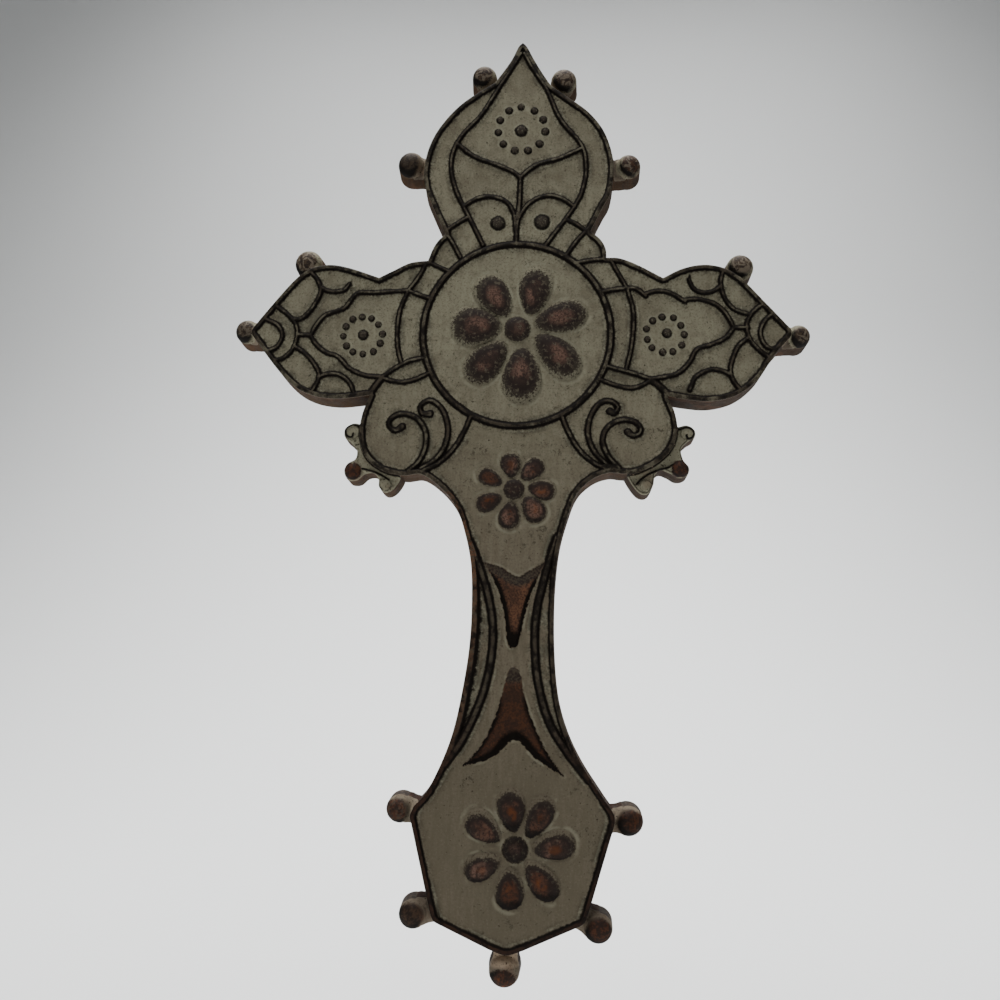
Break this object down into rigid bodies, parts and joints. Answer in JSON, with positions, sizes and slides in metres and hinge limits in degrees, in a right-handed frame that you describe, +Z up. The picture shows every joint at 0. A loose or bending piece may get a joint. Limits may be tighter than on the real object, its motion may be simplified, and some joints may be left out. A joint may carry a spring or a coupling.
{
  "type": "wall cross",
  "caption": "Cast wall cross with lobed arms, a round medallion, raised line work, seed-petal flowers and ball knobs, painted in a worn grey-green wash over brown.",
  "frame": {"origin": "on the flat back, behind the middle of the medallion, where it rests on the wall", "axes": "+Z up along the shaft, +Y out of the flat back into the wall, +X to the viewer's right"},
  "size_m": [0.1906, 0.0127, 0.3073],
  "materials": {
    "painted_resin": "matt grey-green wash over reddish brown, with near-black lines and rubbed highlights"
  },
  "bodies": {
    "root": {"cross": "painted_resin"}
  },
  "joints": []
}
